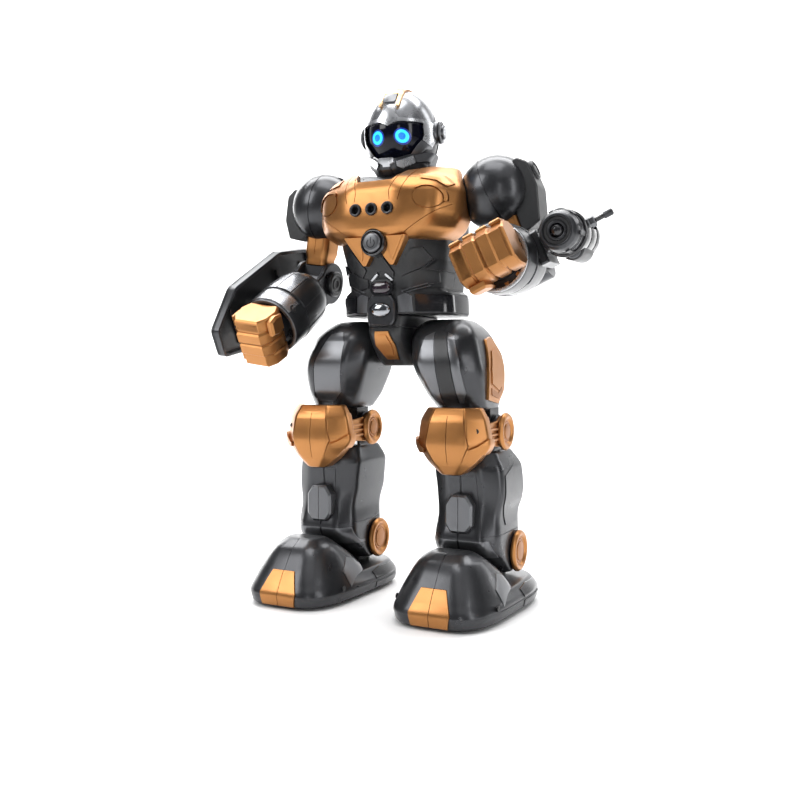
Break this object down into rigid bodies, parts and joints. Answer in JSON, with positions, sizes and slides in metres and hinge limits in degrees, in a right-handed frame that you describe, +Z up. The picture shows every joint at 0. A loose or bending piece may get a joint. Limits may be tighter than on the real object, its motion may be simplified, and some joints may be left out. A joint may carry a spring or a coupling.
{
  "type": "walking humanoid robot toy",
  "caption": "Toy humanoid robot with a helmeted head, armoured chest, jointed arms carrying a shield and a dart launcher, and wheeled boots that let it walk.",
  "frame": {"origin": "on the ground under the centre of the bounding box, about 21 mm to the robot's left of its own mid-plane because the launcher's handle reaches further out than the shield", "axes": "+Z up, the robot faces -Y, its left side (with the launcher) is +X"},
  "size_m": [0.2732, 0.1333, 0.3584],
  "materials": {
    "gold_plastic": "satin metallic gold paint on plastic",
    "gunmetal_plastic": "satin metallic dark grey paint on plastic",
    "silver_plastic": "satin metallic silver grey paint on plastic",
    "black_plastic": "satin black plastic",
    "dark_internal": "matt moulded plastic",
    "visor_black": "gloss black tinted plastic",
    "lens_dark": "gloss dark infra-red window",
    "board_green": "green circuit board",
    "cell_jacket": "blue shrink wrap",
    "steel": "zinc plated",
    "tyre_rubber": "matt rubber rim on a hard plastic hub",
    "paper_cone": "speaker cone",
    "eye_glow": "lit light guide"
  },
  "bodies": {
    "torso": {"torso_front_shell": "black_plastic", "torso_back_shell": "black_plastic", "chest_plate": "gold_plastic", "sensor_bezels": "black_plastic", "button_collar": "black_plastic", "ir_window": "lens_dark", "belt_buckle": "silver_plastic", "pelvis_shell": "black_plastic", "pelvis_insert": "gold_plastic", "battery_door": "black_plastic", "battery_pack": "cell_jacket", "main_board": "board_green", "speaker": "paper_cone", "torso_gearboxes": "dark_internal", "torso_screws": "steel"},
    "power_button": {"power_button": "black_plastic"},
    "head": {"helmet_shell": "gunmetal_plastic", "helmet_crest": "gold_plastic", "face_visor": "visor_black", "eye_lights": "eye_glow", "ear_pods": "gunmetal_plastic", "chin_guard": "silver_plastic", "neck_post": "dark_internal"},
    "shoulder_hub_left": {"shoulder_hub_left": "dark_internal"},
    "arm_left": {"shoulder_shell_left": "gunmetal_plastic", "upper_arm_left": "gold_plastic"},
    "forearm_left": {"forearm_shell_left": "gunmetal_plastic", "launcher_body": "black_plastic", "launcher_barrel": "black_plastic"},
    "hand_left": {"fist_left": "gold_plastic"},
    "shoulder_hub_right": {"shoulder_hub_right": "dark_internal"},
    "arm_right": {"shoulder_shell_right": "gunmetal_plastic", "upper_arm_right": "gold_plastic"},
    "forearm_right": {"forearm_shell_right": "gunmetal_plastic", "shield": "black_plastic"},
    "hand_right": {"fist_right": "gold_plastic"},
    "cocking_handle": {"cocking_handle": "gunmetal_plastic"},
    "dart": {"dart": "black_plastic"},
    "thigh_left": {"thigh_shell_left": "gunmetal_plastic", "thigh_panel_left": "gold_plastic"},
    "shin_left": {"shin_shell_left": "gunmetal_plastic", "kneecap_left": "gold_plastic", "pivot_caps_left": "gold_plastic"},
    "foot_left": {"foot_shell_left": "black_plastic", "toe_cap_left": "gold_plastic", "sole_plate_left": "dark_internal", "foot_gearbox_left": "dark_internal"},
    "drive_wheels_left": {"drive_wheels_left": "tyre_rubber"},
    "front_rollers_left": {"front_rollers_left": "dark_internal"},
    "thigh_right": {"thigh_shell_right": "gunmetal_plastic", "thigh_panel_right": "gold_plastic"},
    "shin_right": {"shin_shell_right": "gunmetal_plastic", "kneecap_right": "gold_plastic", "pivot_caps_right": "gold_plastic"},
    "foot_right": {"foot_shell_right": "black_plastic", "toe_cap_right": "gold_plastic", "sole_plate_right": "dark_internal", "foot_gearbox_right": "dark_internal"},
    "drive_wheels_right": {"drive_wheels_right": "tyre_rubber"},
    "front_rollers_right": {"front_rollers_right": "dark_internal"}
  },
  "joints": [
    {"name": "head_turn", "type": "hinge", "parent": "torso", "child": "head", "pos_m": [-0.02133, 0.01777, 0.3], "axis": [0, 0, 1], "range_deg": [-45, 35]},
    {"name": "power_press", "type": "slide", "parent": "torso", "child": "power_button", "axis": [0, 1, 0], "range_m": [0, 0.002], "stiffness_N_per_m": 200},
    {"name": "shoulder_swing_left", "type": "hinge", "parent": "torso", "child": "shoulder_hub_left", "pos_m": [0.04667, 0.02577, 0.282], "axis": [1, 0, 0], "range_deg": [-90, 40]},
    {"name": "arm_raise_left", "type": "hinge", "parent": "shoulder_hub_left", "child": "arm_left", "pos_m": [0.04667, 0.02577, 0.282], "axis": [0, -1, 0], "range_deg": [-15, 24]},
    {"name": "elbow_bend_left", "type": "hinge", "parent": "arm_left", "child": "forearm_left", "pos_m": [0.06904, 0.02577, 0.23175], "axis": [-0.9135, 0, -0.4067], "range_deg": [-80, 7]},
    {"name": "wrist_turn_left", "type": "hinge", "parent": "forearm_left", "child": "hand_left", "pos_m": [0.06989, -0.03419, 0.22984], "axis": [0.0142, -0.9994, -0.0319], "range_deg": [-90, 90]},
    {"name": "shoulder_swing_right", "type": "hinge", "parent": "torso", "child": "shoulder_hub_right", "pos_m": [-0.08933, 0.02577, 0.282], "axis": [1, 0, 0], "range_deg": [-90, 5]},
    {"name": "arm_raise_right", "type": "hinge", "parent": "shoulder_hub_right", "child": "arm_right", "pos_m": [-0.08933, 0.02577, 0.282], "axis": [0, 1, 0], "range_deg": [0, 36]},
    {"name": "elbow_bend_right", "type": "hinge", "parent": "arm_right", "child": "forearm_right", "pos_m": [-0.09699, 0.02577, 0.22753], "axis": [-0.9903, 0, 0.1392], "range_deg": [-10, 35]},
    {"name": "wrist_turn_right", "type": "hinge", "parent": "forearm_right", "child": "hand_right", "pos_m": [-0.10153, -0.02455, 0.19517], "axis": [-0.0758, -0.8387, -0.5393], "range_deg": [-90, 90]},
    {"name": "handle_slide", "type": "slide", "parent": "forearm_left", "child": "cocking_handle", "axis": [-0.0142, 0.9994, 0.0319], "range_m": [0, 0.012], "stiffness_N_per_m": 80},
    {"name": "dart_slide", "type": "slide", "parent": "forearm_left", "child": "dart", "axis": [0.0142, -0.9994, -0.0319], "range_m": [0, 0.04]},
    {"name": "hip_swing_left", "type": "hinge", "parent": "torso", "child": "thigh_left", "pos_m": [-0.00133, 0.02077, 0.173], "axis": [1, 0, 0], "range_deg": [-8, 8]},
    {"name": "knee_bend_left", "type": "hinge", "parent": "thigh_left", "child": "shin_left", "pos_m": [0.03067, 0.02477, 0.119], "axis": [1, 0, 0], "range_deg": [0, 25]},
    {"name": "ankle_left", "type": "hinge", "parent": "shin_left", "child": "foot_left", "pos_m": [0.03397, 0.03677, 0.035], "axis": [1, 0, 0], "range_deg": [-8, 8]},
    {"name": "drive_spin_left", "type": "hinge", "parent": "foot_left", "child": "drive_wheels_left", "pos_m": [0.03467, 0.04477, 0.0075], "axis": [1, 0, 0], "continuous": true},
    {"name": "roller_spin_left", "type": "hinge", "parent": "foot_left", "child": "front_rollers_left", "pos_m": [0.03467, -0.02523, 0.005], "axis": [1, 0, 0], "continuous": true},
    {"name": "hip_swing_right", "type": "hinge", "parent": "torso", "child": "thigh_right", "pos_m": [-0.04133, 0.02077, 0.173], "axis": [1, 0, 0], "range_deg": [-8, 8]},
    {"name": "knee_bend_right", "type": "hinge", "parent": "thigh_right", "child": "shin_right", "pos_m": [-0.07333, 0.02477, 0.119], "axis": [1, 0, 0], "range_deg": [0, 25]},
    {"name": "ankle_right", "type": "hinge", "parent": "shin_right", "child": "foot_right", "pos_m": [-0.07663, 0.03677, 0.035], "axis": [1, 0, 0], "range_deg": [-8, 8]},
    {"name": "drive_spin_right", "type": "hinge", "parent": "foot_right", "child": "drive_wheels_right", "pos_m": [-0.07733, 0.04477, 0.0075], "axis": [1, 0, 0], "continuous": true},
    {"name": "roller_spin_right", "type": "hinge", "parent": "foot_right", "child": "front_rollers_right", "pos_m": [-0.07733, -0.02523, 0.005], "axis": [1, 0, 0], "continuous": true}
  ],
  "couplings": [
    {"joint": "hip_swing_right", "follows": "hip_swing_left", "ratio": -1},
    {"joint": "ankle_left", "follows": "hip_swing_left", "ratio": -1},
    {"joint": "ankle_right", "follows": "hip_swing_left", "ratio": 1}
  ]
}
